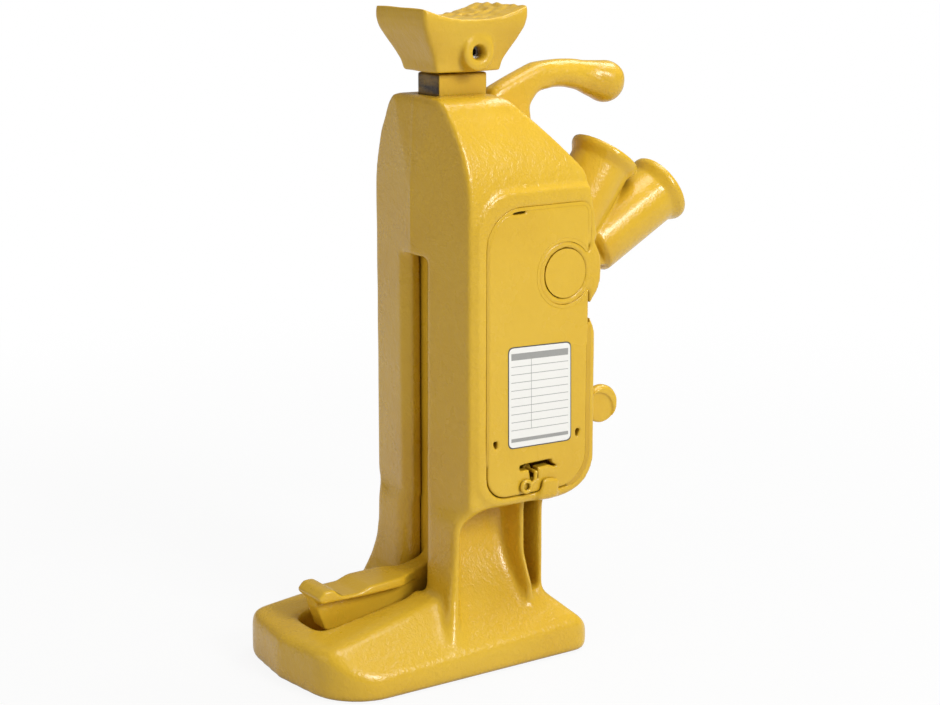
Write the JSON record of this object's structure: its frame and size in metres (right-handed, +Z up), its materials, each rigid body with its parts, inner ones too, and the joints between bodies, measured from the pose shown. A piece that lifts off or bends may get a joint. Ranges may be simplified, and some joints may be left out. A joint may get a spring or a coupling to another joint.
{
  "type": "ratchet jack",
  "caption": "Upright cast ratchet jack with a toothed lifting bar, dished head, toe lift, double lever socket, reversing lever and carrying handle.",
  "frame": {"origin": "lifting bar's axis at the underside of the base", "axes": "+Z up along the bar's travel, -Y toward the toe and the front slot, +Y toward the lever sockets, +X toward the removable cover"},
  "size_m": [0.1648, 0.3796, 0.5036],
  "materials": {
    "painted_casting": "gloss safety-yellow paint over cast iron",
    "painted_plate": "gloss safety-yellow paint over steel plate",
    "painted_steel": "gloss safety-yellow paint over steel",
    "bare_steel": "oiled plain steel",
    "bronze": "plain bearing bronze"
  },
  "bodies": {
    "frame": {"frame_casting": "painted_casting", "cover_plate": "painted_plate", "latch_clip": "painted_steel", "lever_shaft": "painted_steel", "thrust_washers": "bronze", "holding_pawl_pin": "bare_steel", "holding_pin_ring": "bare_steel", "drag_screw": "bare_steel", "drag_spring": "bare_steel", "drag_shoe": "bronze", "holding_spring": "bare_steel"},
    "lift": {"lift_bar": "painted_steel", "head": "painted_casting", "head_pin": "bare_steel"},
    "lever": {"lever_socket": "painted_casting", "lever_bush": "bronze", "lifting_pawl_pin": "bare_steel", "lifting_pin_ring": "bare_steel"},
    "lifting_pawl": {"lifting_pawl": "bare_steel"},
    "holding_pawl": {"holding_pawl": "bare_steel"},
    "reverser": {"reversing_shaft": "bare_steel", "reversing_lever": "painted_steel", "trip_crank": "bare_steel"},
    "trip_rod": {"trip_rod": "bare_steel"}
  },
  "joints": [
    {"name": "lift_slide", "type": "slide", "parent": "frame", "child": "lift", "axis": [0, 0, 1], "range_m": [0, 0.2286]},
    {"name": "lever_hinge", "type": "hinge", "parent": "frame", "child": "lever", "pos_m": [0, 0.0575, 0.3027], "axis": [1, 0, 0], "range_deg": [-38, 0]},
    {"name": "reverser_hinge", "type": "hinge", "parent": "frame", "child": "reverser", "pos_m": [0, 0.066, 0.19], "axis": [1, 0, 0], "range_deg": [-24, 0]},
    {"name": "lifting_pawl_hinge", "type": "hinge", "parent": "lever", "child": "lifting_pawl", "pos_m": [0, 0.03729, 0.28634], "axis": [1, 0, 0], "range_deg": [0, 32]},
    {"name": "holding_pawl_hinge", "type": "hinge", "parent": "frame", "child": "holding_pawl", "pos_m": [0, 0.03729, 0.24824], "axis": [1, 0, 0], "range_deg": [0, 32], "deforming": ["holding_spring"]},
    {"name": "trip_rod_slide", "type": "slide", "parent": "frame", "child": "trip_rod", "axis": [0, 0, 1], "range_m": [0, 0.005]}
  ],
  "couplings": [
    {"joint": "lifting_pawl_hinge", "follows": "reverser_hinge", "ratio": -1.3333},
    {"joint": "holding_pawl_hinge", "follows": "reverser_hinge", "ratio": -1.3333},
    {"joint": "trip_rod_slide", "follows": "reverser_hinge", "m_per_rad": -0.011936}
  ]
}
